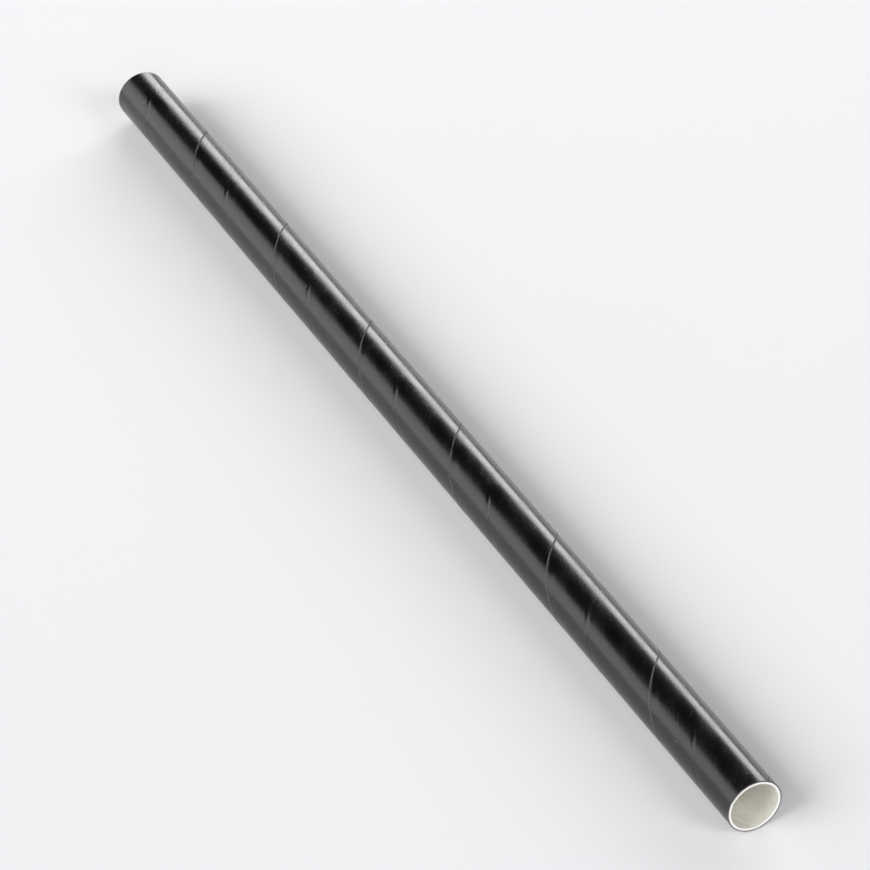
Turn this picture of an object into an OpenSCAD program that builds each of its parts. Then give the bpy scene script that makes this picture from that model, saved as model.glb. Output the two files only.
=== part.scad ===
// Spiral-wound paper drinking straw, lying on its side.
// A white inner ply and a black outer ply are long strips of paper, wound in a helix and glued.
// The straw lies along Y and rests on z = 0, and the middle of its length is at y = 0.

/* [Straw] */
// Length between the two square cut ends
straw_length = 197; // [100:1:300]
// Outer diameter
outer_diameter = 8; // [5:0.1:14]

/* [Plies] */
// Thickness of the black outer ply
outer_ply_thickness = 0.16; // [0.14:0.01:0.3]
// Thickness of the white inner ply, which is the rest of the wall
inner_ply_thickness = 0.32; // [0.26:0.01:0.8]

/* [Winding] */
// Length of straw that one turn of a strip covers
winding_pitch = 29.4; // [18:0.1:60]
// Place of the outer seam on the near end, in degrees round the straw from its top
seam_start = 35; // [0:5:355]
// Distance along the straw from a seam of the outer ply back to the seam of the inner ply
seam_offset = 11.6; // [3:0.1:15]

/* [Seams] */
// Width of the seam of the outer ply, square to the edge of the strip
outer_seam_width = 0.16; // [0.08:0.01:0.5]
// Least depth of the seam in each face of the outer ply
outer_seam_depth = 0.04; // [0.02:0.01:0.04]
// Width of the seam of the inner ply, square to the edge of the strip
inner_seam_width = 0.2; // [0.08:0.01:0.5]
// Least depth of the seam in each face of the inner ply
inner_seam_depth = 0.08; // [0.04:0.01:0.1]

/* [Hidden] */

outer_radius = outer_diameter / 2;
glue_radius = outer_radius - outer_ply_thickness;
bore_radius = glue_radius - inner_ply_thickness;

// Straight pieces that stand for one turn of a seam
seam_steps_per_turn = 24;
// The middle of such a piece is nearer to the axis than its ends by this factor
seam_chord = cos(180 / seam_steps_per_turn);
// How far a cutter reaches past the surfaces that it cuts
cut_margin = 0.5;
$fn = 96;

// Lays a piece that stands on z = 0 down along Y on the surface at z = 0, and turns its +X side up
module laid_down() {
    translate([0, -straw_length / 2, outer_radius])
        rotate([-90, 0, 0])
            rotate([0, 0, -90])
                children();
}

// Slot between two radii that follows a right-handed helix and meets the near end at an angle
module seam_slot(inner_r, outer_r, width, angle) {
    slot_length = straw_length + 2 * cut_margin;
    slot_turns = slot_length / winding_pitch;
    // The seam leans from the axis, so it is wider round the straw than square to its edges
    lean = atan(PI * outer_diameter / winding_pitch);
    width_round = width / cos(lean);
    translate([0, 0, -cut_margin])
        rotate([0, 0, angle - 360 * cut_margin / winding_pitch])
            linear_extrude(
                height = slot_length,
                twist = -360 * slot_turns,
                slices = ceil(slot_turns * seam_steps_per_turn),
                segments = 4
            )
                translate([inner_r, -width_round / 2])
                    square([outer_r - inner_r, width_round]);
}

// A strip wound into a tube and cut square at both ends. Its turns meet edge to edge:
// the glued joint holds them together, and a fine groove follows it in both faces.
module wound_ply(inner_r, outer_r, seam_width, seam_depth, angle) {
    difference() {
        cylinder(h = straw_length, r = outer_r);
        translate([0, 0, -cut_margin])
            cylinder(h = straw_length + 2 * cut_margin, r = inner_r);
        seam_slot(inner_r - cut_margin, (inner_r + seam_depth) / seam_chord, seam_width, angle);
        seam_slot(outer_r - seam_depth, outer_r + cut_margin, seam_width, angle);
    }
}

module inner_ply() {
    color([0.93, 0.92, 0.89])
        laid_down()
            wound_ply(
                bore_radius,
                glue_radius,
                inner_seam_width,
                inner_seam_depth,
                seam_start + 360 * seam_offset / winding_pitch
            );
}

module outer_ply() {
    color([0.07, 0.07, 0.08])
        laid_down()
            wound_ply(
                glue_radius,
                outer_radius,
                outer_seam_width,
                outer_seam_depth,
                seam_start
            );
}

inner_ply();
outer_ply();
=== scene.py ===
# A spiral-wound paper drinking straw that lies on a pale table.
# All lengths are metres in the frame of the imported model: the straw lies along Y and rests on
# z = 0, and the end that the camera looks into is at the low end of Y.

import math

import bpy
import numpy as np
from mathutils import Matrix, Vector


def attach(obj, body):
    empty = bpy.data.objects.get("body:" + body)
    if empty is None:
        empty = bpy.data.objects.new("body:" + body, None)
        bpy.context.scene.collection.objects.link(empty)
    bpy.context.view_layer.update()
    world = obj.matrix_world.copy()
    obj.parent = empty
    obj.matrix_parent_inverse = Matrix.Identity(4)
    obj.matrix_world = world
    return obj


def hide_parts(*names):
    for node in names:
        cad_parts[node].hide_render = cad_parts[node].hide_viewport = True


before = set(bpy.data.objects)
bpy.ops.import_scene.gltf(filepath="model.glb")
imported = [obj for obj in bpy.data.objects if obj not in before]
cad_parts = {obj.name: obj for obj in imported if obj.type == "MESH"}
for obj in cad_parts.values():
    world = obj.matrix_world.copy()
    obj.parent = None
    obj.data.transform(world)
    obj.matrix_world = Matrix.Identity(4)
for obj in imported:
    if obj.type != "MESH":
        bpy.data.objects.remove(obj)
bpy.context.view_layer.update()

MM = 0.001

# The straw, as in the CAD source
STRAW_LENGTH = 197.0 * MM
OUTER_RADIUS = 4.0 * MM
GLUE_RADIUS = 3.84 * MM
BORE_RADIUS = 3.52 * MM

# The winding: a seam climbs right-handed and covers one pitch of straw in a turn
PITCH = 29.4 * MM
OUTER_SEAM_START = math.radians(35.0)
SEAM_OFFSET = 11.6 * MM
LEAN = math.atan(2 * math.pi * OUTER_RADIUS / PITCH)
STRIP_WIDTH = PITCH * math.sin(LEAN)


# The grid of a ply

# Going away from a seam, each step across the strip is longer than the one before it by this
# share of the fine step
STEP_GROWTH = 0.32
# The even places across the strip stay this many fine reaches away from a seam
EVEN_CLEARANCE = 1.15
# How strongly the rings along the straw crowd towards its ends
RING_CROWDING = 0.05
# How far from a cut its rounded edge starts
CUT_LIP = 0.022 * MM
# Distances from each cut of the extra rings there, and the reach that they fill
CUT_RINGS = (CUT_LIP, 0.06 * MM, 0.11 * MM, 0.17 * MM, 0.26 * MM)
CUT_RINGS_REACH = 0.35 * MM
# Rings on the cut itself, as shares of the wall from its inner face to its outer face
CUT_SHARES = (0.93, 0.78, 0.5, 0.22, 0.07)
# Rings within this share of the wall from a face belong to that face and not to the cut
FACE_SHARE = 0.03
# How far from a cut its unevenness has faded out
CUT_FADE = 0.4 * MM


def eased(x, start, end):
    """0 before start and 1 after end, with the smooth cubic 3q^2 - 2q^3 of the way q between them."""
    q = np.clip((x - start) / (end - start), 0.0, 1.0)
    return q * q * (3.0 - 2.0 * q)


def hump(x, half_width):
    """A smooth hump of height 1 at x = 0: e to the power -(x / half_width)^2."""
    return np.exp(-((x / half_width) ** 2))


def waves(u, v, lengths, seed):
    """Sum of sine waves over the plane (u, v), one for each wavelength. Each wave runs in a seeded
    direction from a seeded phase and is weighted by the root of its wavelength. The sum is divided
    by the sum of the weights, so it lies between -1 and 1."""
    rng = np.random.default_rng(seed)
    total = np.zeros(np.broadcast(u, v).shape)
    weight_sum = 0.0
    for length in lengths:
        heading, phase = rng.uniform(0.0, 2 * math.pi, 2)
        weight = math.sqrt(length)
        way = u * math.cos(heading) + v * math.sin(heading)
        total += weight * np.sin(2 * math.pi * way / length + phase)
        weight_sum += weight
    return total / weight_sum


def drift(u, lengths, seed):
    """The same sum of waves along one direction only."""
    return waves(u, np.zeros_like(u), lengths, seed)


def strip_columns(fine_places, coarse_count, fine_step, fine_reach):
    """Places across a strip, from one seam centre to the next: an even row, and instead of it near
    each centre in fine_places a row that closes up there, from fine_step growing outwards to
    fine_reach. Places that agree to a nanometre are one place."""
    even = np.linspace(0.0, STRIP_WIDTH, coarse_count, endpoint=False)
    steps = [0.0]
    while steps[-1] < fine_reach:
        steps.append(steps[-1] + fine_step * (1.0 + STEP_GROWTH * len(steps)))
    near = np.array(sorted({side * step for step in steps for side in (-1.0, 1.0)}))
    fine = np.concatenate([(place + near) % STRIP_WIDTH for place in fine_places])
    distance = np.abs(even[:, None] - np.array(fine_places)[None, :])
    distance = np.minimum(distance, STRIP_WIDTH - distance)
    even = even[distance.min(axis=1) > fine_reach * EVEN_CLEARANCE]
    return np.unique(np.round(np.concatenate([even, fine]), 9))


def ring_places(count):
    """Places of rings along the straw: q - RING_CROWDING sin(2 pi q) of its length for even steps
    of q, with a few more rings just inside each cut."""
    end = STRAW_LENGTH / 2
    q = np.linspace(0.0, 1.0, count)[1:-1]
    even = (q - RING_CROWDING * np.sin(2 * math.pi * q) - 0.5) * STRAW_LENGTH
    near_cut = end - np.array(CUT_RINGS)
    clear_of_cuts = even[np.abs(even) < end - CUT_RINGS_REACH]
    return np.sort(np.concatenate([clear_of_cuts, near_cut, -near_cut]))


def ply_loop(outer_rings, inner_rings):
    """The closed loop that is carried round the axis, as two arrays: the place along the straw and
    the share of the wall from its inner face, 0, to its outer face, 1. It runs out along the
    outer face, over the far cut, back along the inner face and over the near cut."""
    outer = ring_places(outer_rings)
    inner = ring_places(inner_rings)[::-1]
    cut = np.array(CUT_SHARES)
    far_cut = np.full(len(cut), STRAW_LENGTH / 2)
    place = np.concatenate([outer, far_cut, inner, -far_cut])
    share = np.concatenate([np.ones(len(outer)), cut, np.zeros(len(inner)), cut[::-1]])
    return place, share


def wound_ply(name, columns, loop, seam_angle, face_radius, bareness, cut_depth):
    """A ply as a closed grid. Its columns follow the helix of the seam: at the place y along the
    straw, the column at v across the strip stands at the angle of the seam less 2 pi v / (strip
    width). Its radius is the inner face's plus the loop's share of the wall between the faces,
    and at the cuts y is drawn in by cut_depth. face_radius(u, v, outer) and bareness(u, v, place,
    share) are functions of the distance u along the strip and v across it."""
    place, share = loop
    place = place[:, None]
    share = share[:, None]
    v = columns[None, :]
    u = place / math.cos(LEAN) - v * math.tan(LEAN)
    seam = seam_angle + 2 * math.pi * (place + STRAW_LENGTH / 2) / PITCH
    angle = seam - 2 * math.pi * v / STRIP_WIDTH
    outer = face_radius(u, v, True)
    inner = face_radius(u, v, False)
    radius = inner + (outer - inner) * share
    end = STRAW_LENGTH / 2
    side = np.sign(place)
    y = place - side * eased(np.abs(place), end - CUT_FADE, end) * cut_depth(angle, side, share)
    points = np.stack(
        [radius * np.sin(angle), np.broadcast_to(y, angle.shape), OUTER_RADIUS + radius * np.cos(angle)],
        axis=-1,
    )

    rings, ring = angle.shape
    i, j = np.meshgrid(np.arange(rings), np.arange(ring), indexing="ij")
    i_next, j_next = (i + 1) % rings, (j + 1) % ring
    faces = np.stack(
        [i * ring + j, i * ring + j_next, i_next * ring + j_next, i_next * ring + j], axis=-1
    ).reshape(-1, 4)

    mesh = bpy.data.meshes.new(name)
    mesh.from_pydata(points.reshape(-1, 3).tolist(), [], faces.tolist())
    mesh.polygons.foreach_set("use_smooth", np.ones(len(faces), bool))

    # Distances on the unrolled strip. The last column's faces end at the strip's far edge.
    v_here = columns[j]
    v_next = np.where(j == ring - 1, STRIP_WIDTH, columns[j_next])
    y_here, y_next = place[i, 0], place[i_next, 0]
    corners = [(y_here, v_here), (y_here, v_next), (y_next, v_next), (y_next, v_here)]
    unrolled = [
        np.stack([corner_y / math.cos(LEAN) - corner_v * math.tan(LEAN), corner_v], -1)
        for corner_y, corner_v in corners
    ]
    strip_map = mesh.uv_layers.new(name="strip")
    strip_map.data.foreach_set("uv", np.stack(unrolled, -2).astype(np.float32).ravel())

    bare = mesh.attributes.new("bare", "FLOAT", "POINT")
    bare.data.foreach_set("value", bareness(u, v, place, share).astype(np.float32).ravel())
    mesh.update()

    ply = bpy.data.objects.new(name, mesh)
    bpy.context.scene.collection.objects.link(ply)
    return ply


def from_seam(v):
    """Distance from the nearest seam centre across the strip: below 0 on the near side of the
    seam and above 0 on its far side."""
    return (v + STRIP_WIDTH / 2) % STRIP_WIDTH - STRIP_WIDTH / 2


# The outer ply, whose seam shows outside

OUTER_SEAM_WIDTH = 0.12 * MM
OUTER_SEAM_DEPTH = 0.045 * MM
# The share by which the gap widens and narrows along the strip
OUTER_SEAM_DRIFT = 0.34
# The groove's wall leans from this far inside the gap's edge to this far outside it
OUTER_WALL_INSIDE = 0.022 * MM
OUTER_WALL_OUTSIDE = 0.016 * MM
# The far edge of the gap stands up in a lip, this far beyond the edge
LIP_PLACE = 0.06 * MM
LIP_HEIGHT = 0.011 * MM
LIP_HALF_WIDTH = 0.10 * MM
# The strip sinks a little before its seam, this far from the seam's centre
SINK_PLACE = 0.80 * MM
SINK_DEPTH = 0.020 * MM
SINK_HALF_WIDTH = 0.55 * MM
# The seam of the inner ply prints through as a shallow hollow, this far across the outer strip
HOLLOW_PLACE = STRIP_WIDTH - SEAM_OFFSET * math.sin(LEAN)
HOLLOW_DEPTH = 0.026 * MM
HOLLOW_HALF_WIDTH = 0.30 * MM
OUTER_UNEVENNESS = 0.0035 * MM
# The face lies this far inside the straw's radius, so that the lip stays within it
OUTER_ALLOWANCE = 0.016 * MM
# Beyond the gap the sized face is torn, over a reach that comes and goes by the second length
TORN_REACH = 0.30 * MM
TORN_REACH_DRIFT = 0.16 * MM
TORN_BARENESS = 0.85
# Bareness rises over this distance before the gap's edge, and falls beyond this share of the reach
TORN_EDGE = 0.05 * MM
TORN_FULL_SHARE = 0.3
# At the cuts it is scuffed
SCUFF_REACH = 0.14 * MM
SCUFF_BARENESS = 0.75


def outer_seam_half_width(u):
    """Half the gap between two turns, which drifts by a third along the strip."""
    wander = drift(u, [61 * MM, 23 * MM, 7.1 * MM, 2.3 * MM], 11)
    return OUTER_SEAM_WIDTH / 2 * (1.0 + OUTER_SEAM_DRIFT * wander)


def outer_strip_radius(u, v, outer):
    """Outside: the straw's radius less a small allowance, less the groove between two turns, less
    the sink before it and the hollow over the inner seam, plus a lip on the far edge of the gap
    that comes and goes and a faint unevenness. Inside: the glued radius."""
    if not outer:
        return np.full(np.broadcast(u, v).shape, GLUE_RADIUS)
    w = from_seam(v)
    half = outer_seam_half_width(u)
    open_gap = 1.0 - eased(np.abs(w), half - OUTER_WALL_INSIDE, half + OUTER_WALL_OUTSIDE)
    lift = 0.5 + 0.5 * drift(u, [47 * MM, 13 * MM, 4.3 * MM], 12)
    lip = LIP_HEIGHT * lift * hump(w - half - LIP_PLACE, LIP_HALF_WIDTH)
    sink = SINK_DEPTH * (0.4 + 0.6 * lift) * hump(w + SINK_PLACE, SINK_HALF_WIDTH)
    hollow = HOLLOW_DEPTH * hump(v - HOLLOW_PLACE, HOLLOW_HALF_WIDTH)
    uneven = OUTER_UNEVENNESS * waves(u, v, [31 * MM, 17 * MM, 9 * MM, 5.3 * MM, 3.1 * MM], 13)
    face = OUTER_RADIUS - OUTER_ALLOWANCE - OUTER_SEAM_DEPTH * open_gap
    return face - sink - hollow + lip + uneven


def outer_strip_bareness(u, v, place, share):
    """1 on both cuts, a little less on the scuffed edges beside them and on the torn edge on the
    far side of the gap, whose width comes and goes, and 0 on the sized face."""
    w = from_seam(v)
    half = outer_seam_half_width(u)
    reach = TORN_REACH + TORN_REACH_DRIFT * drift(u, [19 * MM, 6.7 * MM, 2.9 * MM, 1.1 * MM], 14)
    rise = eased(w, half - TORN_EDGE, half)
    fall = 1.0 - eased(w, half + TORN_FULL_SHARE * reach, half + reach)
    torn = TORN_BARENESS * rise * fall
    to_cut = STRAW_LENGTH / 2 - np.abs(place) - CUT_LIP
    scuffed = SCUFF_BARENESS * (1.0 - eased(to_cut, 0.0, SCUFF_REACH))
    on_cut = np.where(share < 1.0 - FACE_SHARE, 1.0, 0.0)
    return np.maximum(np.maximum(torn, scuffed), on_cut) * np.ones(np.broadcast(u, v).shape)


# Both plies are cut by one blade, so they share the unevenness of their cuts

CUT_FIBRE_DEPTH = 0.030 * MM
# The fibrous edge is cut from one pattern of waves, in which the wall of a ply is this thick and
# the two cuts lie this far to either side
PATTERN_WALL = 0.2 * MM
PATTERN_SIDE = 5 * MM
CUT_SLANT_DEPTH = 0.025 * MM
# Where the slant is deepest, in radians round the straw from its top: one radian is added at the
# near cut and one is taken off at the far one
SLANT_ANGLE = 2.1
# A small chip in the near cut, round the straw from its top
CHIP_ANGLE = math.radians(-62.0)
CHIP_DEPTH = 0.07 * MM
CHIP_HALF_WIDTH = 0.32 * MM


def cut_unevenness(angle, side, share):
    """How far the cut lies inside the full length: a fibrous edge of a few hundredths of a
    millimetre, a blade mark that slants once round, and one small chip at the near end. side is
    -1 at the near cut and 1 at the far one."""
    round_turn = angle % (2 * math.pi)
    fibres = 0.5 + 0.5 * waves(
        round_turn * OUTER_RADIUS,
        share * PATTERN_WALL + side * PATTERN_SIDE,
        [2.9 * MM, 1.3 * MM, 0.61 * MM, 0.43 * MM],
        15,
    )
    slant = 0.5 + 0.5 * np.cos(round_turn - SLANT_ANGLE + side)
    from_chip = (round_turn - CHIP_ANGLE + math.pi) % (2 * math.pi) - math.pi
    chip = np.where(side < 0, hump(from_chip * OUTER_RADIUS, CHIP_HALF_WIDTH), 0.0)
    return CUT_FIBRE_DEPTH * fibres + CUT_SLANT_DEPTH * slant + CHIP_DEPTH * chip


outer_strip = wound_ply(
    "outer_strip",
    strip_columns([0.0, HOLLOW_PLACE], coarse_count=72, fine_step=0.013 * MM, fine_reach=0.60 * MM),
    ply_loop(outer_rings=430, inner_rings=240),
    OUTER_SEAM_START,
    outer_strip_radius,
    outer_strip_bareness,
    cut_unevenness,
)

# The inner ply, whose seam shows in the bore

INNER_SEAM_WIDTH = 0.20 * MM
INNER_SEAM_DEPTH = 0.09 * MM
INNER_SEAM_DRIFT = 0.3
# Half the width over which the groove's wall leans
INNER_WALL_HALF = 0.03 * MM
# The seam of the outer ply leaves a faint hollow, this far across the inner strip
UNDER_OUTER_PLACE = SEAM_OFFSET * math.sin(LEAN)
UNDER_OUTER_DEPTH = 0.010 * MM
UNDER_OUTER_HALF_WIDTH = 0.3 * MM
INNER_UNEVENNESS = 0.005 * MM
# Fibres stand open this far in from a cut
OPENED_REACH = 0.2 * MM


def inner_wall_radius(u, v, outer):
    """Outside: the glued radius. Inside: the bore's radius plus the groove between two turns, plus
    a hollow under the outer seam and a faint unevenness."""
    if outer:
        return np.full(np.broadcast(u, v).shape, GLUE_RADIUS)
    w = from_seam(v)
    wander = drift(u, [53 * MM, 19 * MM, 5.9 * MM], 21)
    half = INNER_SEAM_WIDTH / 2 * (1.0 + INNER_SEAM_DRIFT * wander)
    open_gap = 1.0 - eased(np.abs(w), half - INNER_WALL_HALF, half + INNER_WALL_HALF)
    hollow = UNDER_OUTER_DEPTH * hump(v - UNDER_OUTER_PLACE, UNDER_OUTER_HALF_WIDTH)
    uneven = INNER_UNEVENNESS * (1.0 + waves(u, v, [37 * MM, 11 * MM, 6.1 * MM, 3.7 * MM], 22))
    return BORE_RADIUS + INNER_SEAM_DEPTH * open_gap + hollow + uneven


def inner_wall_bareness(u, v, place, share):
    """1 on both cuts, where the fibres stand open, and 0 on the pressed face of the bore."""
    to_cut = STRAW_LENGTH / 2 - np.abs(place) - CUT_LIP
    opened = 1.0 - eased(to_cut, 0.0, OPENED_REACH)
    on_cut = np.where(share > FACE_SHARE, 1.0, 0.0)
    return np.maximum(opened, on_cut) * np.ones(np.broadcast(u, v).shape)


inner_wall = wound_ply(
    "inner_wall",
    strip_columns([0.0], coarse_count=84, fine_step=0.016 * MM, fine_reach=0.40 * MM),
    ply_loop(outer_rings=240, inner_rings=430),
    OUTER_SEAM_START + 2 * math.pi * SEAM_OFFSET / PITCH,
    inner_wall_radius,
    inner_wall_bareness,
    cut_unevenness,
)


# Materials


def new_group(name, inputs, outputs):
    """An empty node group with number or vector inputs, given as (name, type, value), and outputs."""
    group = bpy.data.node_groups.new(name, "ShaderNodeTree")
    for label, kind, value in inputs:
        socket = group.interface.new_socket(label, in_out="INPUT", socket_type=kind)
        if value is not None:
            socket.default_value = value
    for label, kind in outputs:
        group.interface.new_socket(label, in_out="OUTPUT", socket_type=kind)
    return group, group.nodes.new("NodeGroupInput"), group.nodes.new("NodeGroupOutput")


def add_node(tree, kind, settings=None, **inputs):
    """A node with its settings, and its inputs set to values or linked from sockets. An input's
    name is written with _ for a space, or as in_N for its number."""
    node = tree.nodes.new(kind)
    for key, value in (settings or {}).items():
        setattr(node, key, value)
    for key, value in inputs.items():
        socket = node.inputs[int(key[3:])] if key.startswith("in_") else node.inputs[key.replace("_", " ")]
        if isinstance(value, bpy.types.NodeSocket):
            tree.links.new(value, socket)
        else:
            socket.default_value = value
    return node


def calculated(tree, operation, a, b=0.0, c=0.0):
    """The result of a Math node. Only some operations, such as MULTIPLY_ADD, read c."""
    return add_node(tree, "ShaderNodeMath", {"operation": operation}, in_0=a, in_1=b, in_2=c).outputs[0]


def ranged(tree, value, low, high, to_low, to_high, smooth=False):
    """Maps value from low..high to to_low..to_high, and holds it there outside the range."""
    kind = "SMOOTHSTEP" if smooth else "LINEAR"
    node = add_node(
        tree, "ShaderNodeMapRange", {"interpolation_type": kind, "clamp": True},
        Value=value, From_Min=low, From_Max=high, To_Min=to_low, To_Max=to_high,
    )
    return node.outputs["Result"]


def mixed_colour(tree, share, a, b):
    """Colour a where the share is 0 and colour b where it is 1."""
    return add_node(tree, "ShaderNodeMix", {"data_type": "RGBA"}, in_0=share, in_6=a, in_7=b).outputs[2]


def mixed_value(tree, share, a, b):
    """The number a where the share is 0 and b where it is 1."""
    return add_node(tree, "ShaderNodeMix", {"data_type": "FLOAT"}, in_0=share, in_2=a, in_3=b).outputs[0]


def paper_fibre_group():
    """Paper seen close: fibres that lie mostly along the strip, clouds where they are dense or
    thin, and a few loose fibres. Place is in metres on the unrolled strip."""
    group, given, result = new_group(
        "paper fibre",
        [("Place", "NodeSocketVector", None), ("Fibre Size", "NodeSocketFloat", 0.22 * MM),
         ("Cloud Size", "NodeSocketFloat", 3.0 * MM)],
        [("Fibres", "NodeSocketFloat"), ("Clouds", "NodeSocketFloat"), ("Lint", "NodeSocketFloat")],
    )
    place, fibre_size, cloud_size = given.outputs[0], given.outputs[1], given.outputs[2]

    def scaled(size, stretch):
        """The place divided by a size, drawn out along the strip by a stretch."""
        shrunk = add_node(group, "ShaderNodeVectorMath", {"operation": "MULTIPLY"},
                          in_0=place, in_1=(1.0 / stretch, 1.0, 1.0)).outputs[0]
        per_size = calculated(group, "DIVIDE", 1.0, size)
        return add_node(group, "ShaderNodeVectorMath", {"operation": "SCALE"},
                        in_0=shrunk, Scale=per_size).outputs[0]

    fine = add_node(group, "ShaderNodeTexNoise", {"noise_dimensions": "2D"},
                    Vector=scaled(fibre_size, 2.6), Scale=1.0, Detail=3.0, Roughness=0.62)
    bent = add_node(group, "ShaderNodeTexNoise", {"noise_dimensions": "2D"},
                    Vector=scaled(fibre_size, 7.0), Scale=0.55, Detail=2.0, Roughness=0.5, Distortion=0.9)
    half_fine = calculated(group, "MULTIPLY", fine.outputs["Fac"], 0.5)
    fibres = calculated(group, "MULTIPLY_ADD", bent.outputs["Fac"], 0.5, half_fine)

    dense = add_node(group, "ShaderNodeTexNoise", {"noise_dimensions": "2D"},
                     Vector=scaled(cloud_size, 1.6), Scale=1.0, Detail=3.0, Roughness=0.55)
    clouds = ranged(group, dense.outputs["Fac"], 0.32, 0.68, 0.0, 1.0, smooth=True)

    specks = add_node(group, "ShaderNodeTexVoronoi", {"voronoi_dimensions": "2D", "feature": "F1"},
                      Vector=scaled(cloud_size, 1.9), Scale=1.7, Randomness=1.0)
    chosen = calculated(group, "GREATER_THAN", specks.outputs["Color"], 0.86)
    dot = ranged(group, specks.outputs["Distance"], 0.025, 0.055, 1.0, 0.0, smooth=True)
    lint = calculated(group, "MULTIPLY", dot, chosen)

    for socket, value in zip(result.inputs, (fibres, clouds, lint)):
        group.links.new(value, socket)
    return group


def frayed_edge_group():
    """Where a sized face gives way to open fibre: the painted bareness, broken up by the fibres so
    that its edge is ragged."""
    group, given, result = new_group(
        "frayed edge",
        [("Bareness", "NodeSocketFloat", 0.0), ("Fibres", "NodeSocketFloat", 0.5),
         ("Raggedness", "NodeSocketFloat", 0.6)],
        [("Open Fibre", "NodeSocketFloat")],
    )
    centred = calculated(group, "SUBTRACT", given.outputs[1], 0.5)
    total = calculated(group, "MULTIPLY_ADD", centred, given.outputs[2], given.outputs[0])
    group.links.new(ranged(group, total, 0.25, 0.75, 0.0, 1.0, smooth=True), result.inputs[0])
    return group


paper_fibre = paper_fibre_group()
frayed_edge = frayed_edge_group()


def new_material(name, colour, **constants):
    """A material with a Principled shader whose constant sockets are set directly."""
    material = bpy.data.materials.new(name)
    material.use_nodes = True
    material.diffuse_color = colour
    tree = material.node_tree
    shader = tree.nodes["Principled BSDF"]
    for socket, value in constants.items():
        shader.inputs[socket.replace("_", " ")].default_value = value
    return material, tree, shader


def paper_masks(tree, fibre_size, cloud_size, raggedness):
    """Fibres, clouds, lint and open fibre on a ply's own strip map and bareness."""
    place = add_node(tree, "ShaderNodeUVMap", {"uv_map": "strip"}).outputs[0]
    fibre = add_node(tree, "ShaderNodeGroup", {"node_tree": paper_fibre},
                     Place=place, Fibre_Size=fibre_size, Cloud_Size=cloud_size)
    bareness = add_node(tree, "ShaderNodeAttribute", {"attribute_name": "bare"}).outputs["Fac"]
    edge = add_node(tree, "ShaderNodeGroup", {"node_tree": frayed_edge},
                    Bareness=bareness, Fibres=fibre.outputs[0], Raggedness=raggedness)
    return fibre.outputs[0], fibre.outputs[1], fibre.outputs[2], edge.outputs[0]


def raised(tree, height, distance, normal=None):
    """The normal of a surface that the height lifts by up to the distance."""
    node = add_node(tree, "ShaderNodeBump", Height=height, Strength=1.0, Distance=distance)
    if normal is not None:
        tree.links.new(normal, node.inputs["Normal"])
    return node.outputs[0]


def black_sized_paper():
    """Black paper with a smooth sized face, satin, and grey open fibre at torn and cut edges."""
    material, tree, shader = new_material("black sized paper", (0.012, 0.012, 0.013, 1.0), IOR=1.5)
    fibres, clouds, lint, open_fibre = paper_masks(tree, 0.20 * MM, 4.2 * MM, 1.8)

    face = mixed_colour(tree, clouds, (0.0018, 0.0018, 0.0020, 1.0), (0.0046, 0.0045, 0.0048, 1.0))
    torn = mixed_colour(tree, fibres, (0.035, 0.0345, 0.0335, 1.0), (0.135, 0.132, 0.127, 1.0))
    with_edges = mixed_colour(tree, open_fibre, face, torn)
    faint_lint = calculated(tree, "MULTIPLY", lint, 0.55)
    dusted = mixed_colour(tree, faint_lint, with_edges, (0.16, 0.16, 0.165, 1.0))
    tree.links.new(dusted, shader.inputs["Base Color"])

    satin = ranged(tree, clouds, 0.0, 1.0, 0.21, 0.27)
    centred = calculated(tree, "SUBTRACT", fibres, 0.5)
    grained = calculated(tree, "MULTIPLY_ADD", centred, 0.20, satin)
    tree.links.new(mixed_value(tree, open_fibre, grained, 0.85), shader.inputs["Roughness"])

    soft = raised(tree, clouds, 0.0045 * MM)
    grain = raised(tree, fibres, 0.012 * MM, soft)
    tree.links.new(raised(tree, open_fibre, 0.010 * MM, grain), shader.inputs["Normal"])
    return material


def white_uncoated_paper():
    """Warm white uncoated paper: matte, with visible fibre, and a little rougher where it is cut."""
    material, tree, shader = new_material("white uncoated paper", (0.83, 0.81, 0.76, 1.0), IOR=1.47)
    fibres, clouds, lint, open_fibre = paper_masks(tree, 0.26 * MM, 3.0 * MM, 0.8)

    face = mixed_colour(tree, clouds, (0.805, 0.79, 0.72, 1.0), (0.86, 0.845, 0.785, 1.0))
    dense_fibres = ranged(tree, fibres, 0.35, 0.65, 0.0, 0.5)
    fibred = mixed_colour(tree, dense_fibres, face, (0.71, 0.69, 0.62, 1.0))
    cut = mixed_colour(tree, fibres, (0.80, 0.79, 0.755, 1.0), (0.93, 0.925, 0.895, 1.0))
    with_cuts = mixed_colour(tree, open_fibre, fibred, cut)
    faint_lint = calculated(tree, "MULTIPLY", lint, 0.35)
    flecked = mixed_colour(tree, faint_lint, with_cuts, (0.50, 0.48, 0.43, 1.0))
    tree.links.new(flecked, shader.inputs["Base Color"])

    matte = ranged(tree, fibres, 0.3, 0.7, 0.72, 0.86)
    tree.links.new(mixed_value(tree, open_fibre, matte, 0.93), shader.inputs["Roughness"])

    soft = raised(tree, clouds, 0.006 * MM)
    tree.links.new(raised(tree, fibres, 0.026 * MM, soft), shader.inputs["Normal"])
    return material


outer_strip.data.materials.append(black_sized_paper())
inner_wall.data.materials.append(white_uncoated_paper())

for ply, node, finish in (
    (outer_strip, "outer_ply", "black_paper"),
    (inner_wall, "inner_ply", "white_paper"),
):
    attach(ply, "root")
    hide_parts(node)


# The table

TABLE_SIZE = 3.0
PALE = (0.885, 0.885, 0.905, 1.0)
SHADED_PALE = (PALE[0] * 0.985, PALE[1] * 0.985, PALE[2] * 0.987, 1.0)
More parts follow.
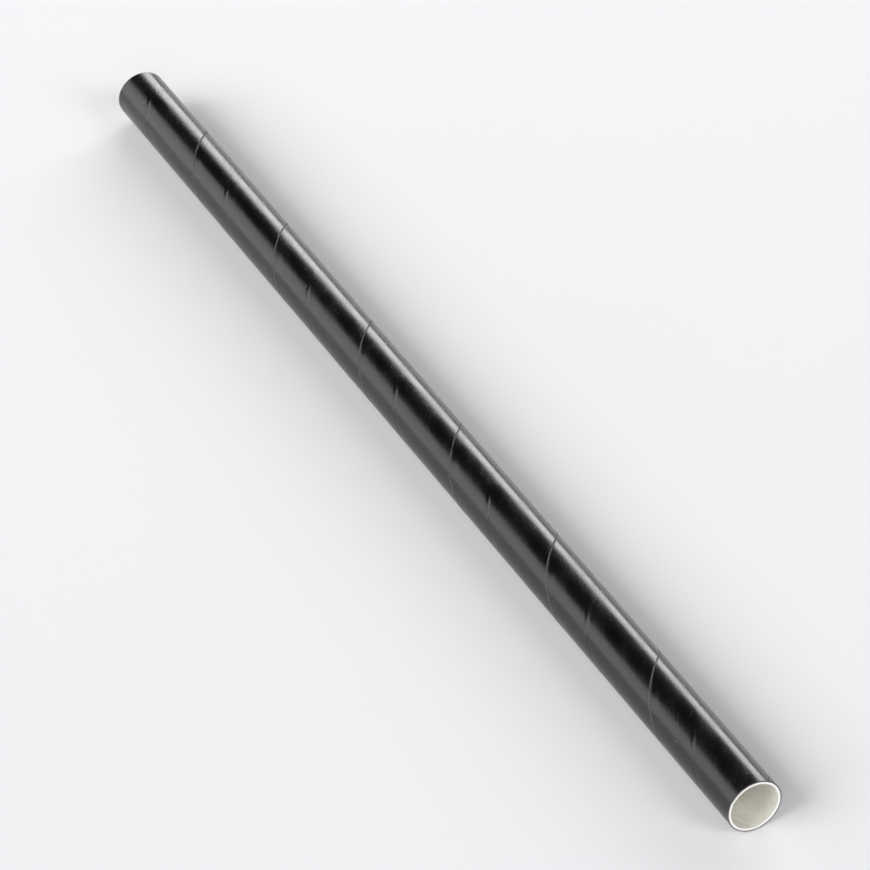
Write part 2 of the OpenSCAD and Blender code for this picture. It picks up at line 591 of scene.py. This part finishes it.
# Between these distances from the straw's middle the table fades into the plain backdrop
FADE_START = 0.15
FADE_END = 0.45


def pale_table():
    """A flat square of pale matte board with a very faint mottle. Far from the straw the camera sees
    it at the plain brightness of the backdrop."""
    half = TABLE_SIZE / 2
    mesh = bpy.data.meshes.new("table")
    corners = [(-half, -half, 0.0), (half, -half, 0.0), (half, half, 0.0), (-half, half, 0.0)]
    mesh.from_pydata(corners, [], [(0, 1, 2, 3)])
    table = bpy.data.objects.new("table", mesh)
    bpy.context.scene.collection.objects.link(table)

    material, tree, shader = new_material("pale board", PALE, Roughness=0.9, Specular_IOR_Level=0.1)
    place = add_node(tree, "ShaderNodeTexCoord").outputs["Object"]
    mottle = add_node(tree, "ShaderNodeTexNoise", Vector=place, Scale=14.0, Detail=2.0).outputs["Fac"]
    tree.links.new(mixed_colour(tree, mottle, SHADED_PALE, PALE), shader.inputs["Base Color"])
    away = add_node(tree, "ShaderNodeVectorMath", {"operation": "LENGTH"}, in_0=place).outputs["Value"]
    far = ranged(tree, away, FADE_START, FADE_END, 0.0, 1.0, smooth=True)
    seen = add_node(tree, "ShaderNodeLightPath").outputs["Is Camera Ray"]
    backdrop = add_node(tree, "ShaderNodeEmission", Color=PALE, Strength=1.0)
    faded = add_node(tree, "ShaderNodeMixShader", in_0=calculated(tree, "MULTIPLY", far, seen),
                     in_1=shader.outputs[0], in_2=backdrop.outputs[0])
    tree.links.new(faded.outputs[0], tree.nodes["Material Output"].inputs["Surface"])
    mesh.materials.append(material)


pale_table()


# Light


def soft_lamp(name, towards, distance, width, height, radiance):
    """A rectangular lamp that stands in a direction from the straw and faces it. Its power is
    pi times its area times the radiance of its face."""
    data = bpy.data.lights.new(name, "AREA")
    data.shape = "RECTANGLE"
    data.size, data.size_y = width, height
    data.energy = math.pi * width * height * radiance
    lamp = bpy.data.objects.new(name, data)
    out = Vector(towards).normalized()
    lamp.location = out * distance
    lamp.rotation_euler = out.to_track_quat("Z", "Y").to_euler()
    lamp.visible_camera = False
    bpy.context.scene.collection.objects.link(lamp)


# Two lamps behind the straw are mirrored in it: one as the highlight, one on its left flank
soft_lamp("back softbox", (0.700, 0.680, 0.328), distance=1.03, width=1.0, height=0.36, radiance=6.6)
soft_lamp("back card", (-0.614, 0.733, 0.291), distance=1.0, width=0.90, height=0.58, radiance=2.0)
# Two in front light the bore, and one on the left lights the table beside the straw
soft_lamp("front left softbox", (-0.38, -0.80, 0.46), distance=2.6, width=1.7, height=1.4, radiance=3.2)
soft_lamp("front right softbox", (0.33, -0.81, 0.48), distance=2.6, width=1.2, height=1.2, radiance=5.9)
soft_lamp("left softbox", (-0.82, -0.04, 0.56), distance=3.9, width=3.3, height=2.4, radiance=4.9)


def studio_world():
    """A dim bluish surround that only fills the shadows, and that the camera sees as a pale one."""
    world = bpy.data.worlds.new("studio")
    world.use_nodes = True
    bpy.context.scene.world = world
    tree = world.node_tree
    tree.nodes.clear()
    dim = add_node(tree, "ShaderNodeBackground", Color=(0.92, 0.95, 1.0, 1.0), Strength=0.03)
    pale = add_node(tree, "ShaderNodeBackground", Color=PALE, Strength=1.0)
    seen = add_node(tree, "ShaderNodeLightPath").outputs["Is Camera Ray"]
    surround = add_node(tree, "ShaderNodeMixShader", in_0=seen, in_1=dim.outputs[0], in_2=pale.outputs[0])
    tree.links.new(surround.outputs[0], add_node(tree, "ShaderNodeOutputWorld").inputs["Surface"])


studio_world()


# Camera: the place from which the photograph was taken, turned to the middle of the straw

CAMERA_PLACE = Vector((-0.21523, -0.50561, 0.42051))
CAMERA_AIM = Vector((0.0, -0.006, 0.004))
CAMERA_ROLL = math.radians(5.4)
CAMERA_LENS = 198.0

camera_data = bpy.data.cameras.new("camera")
camera_data.lens = CAMERA_LENS
camera_data.sensor_width = 36.0
camera_data.clip_start = 0.05
camera_data.clip_end = 20.0
camera = bpy.data.objects.new("camera", camera_data)
bpy.context.scene.collection.objects.link(camera)
look = (CAMERA_AIM - CAMERA_PLACE).to_track_quat("-Z", "Y").to_matrix()
turned = (look @ Matrix.Rotation(-CAMERA_ROLL, 3, "Z")).to_4x4()
camera.matrix_world = Matrix.Translation(CAMERA_PLACE) @ turned
bpy.context.scene.camera = camera

bpy.context.scene.view_settings.view_transform = "Standard"
